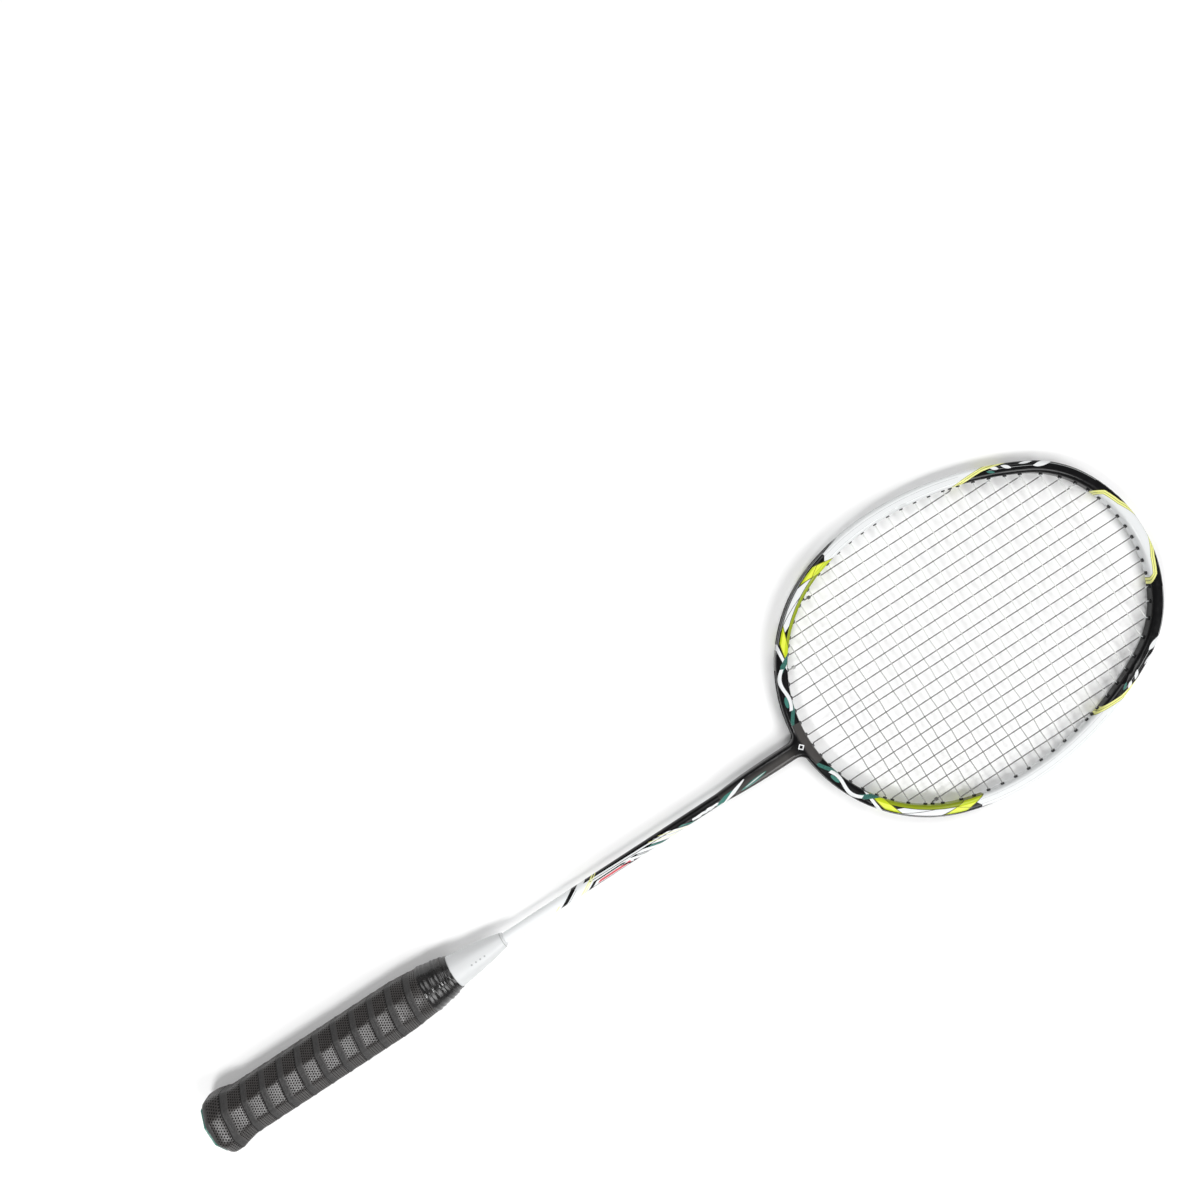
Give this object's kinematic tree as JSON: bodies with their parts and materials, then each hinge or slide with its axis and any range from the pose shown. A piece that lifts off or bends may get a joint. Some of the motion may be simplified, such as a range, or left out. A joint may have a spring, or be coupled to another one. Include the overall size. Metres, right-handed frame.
{
  "type": "badminton racket",
  "caption": "Long-handled badminton racket: oval strung hoop on a slender tubular shaft, flared cone and a spirally wrapped faceted grip.",
  "frame": {"origin": "centre of the butt cap's flat end face, on the shaft's axis", "axes": "+Y along the racket from the butt to the tip, +X across the head in the string plane, +Z square to the string plane"},
  "size_m": [0.1956, 0.6753, 0.0332],
  "materials": {
    "hoop_paint": "gloss",
    "insert_alloy": "satin",
    "shaft_paint": "gloss",
    "cone_plastic": "gloss",
    "handle_wood": "matte",
    "cap_plastic": "satin",
    "badge_plastic": "gloss",
    "base_grip_foam": "matte",
    "overgrip_film": "matte",
    "tape_vinyl": "gloss",
    "grommet_nylon": "satin",
    "string_main": "satin",
    "string_cross": "satin"
  },
  "bodies": {
    "root": {"hoop_frame": "hoop_paint", "t_insert": "insert_alloy", "shaft": "shaft_paint", "cone": "cone_plastic", "handle_core": "handle_wood", "butt_cap": "cap_plastic", "butt_badge": "badge_plastic", "base_grip": "base_grip_foam", "overgrip": "overgrip_film", "finishing_tape": "tape_vinyl", "grommets_single": "grommet_nylon", "grommets_shared": "grommet_nylon", "grommets_throat": "grommet_nylon", "main_string": "string_main", "cross_string": "string_cross"}
  },
  "joints": []
}
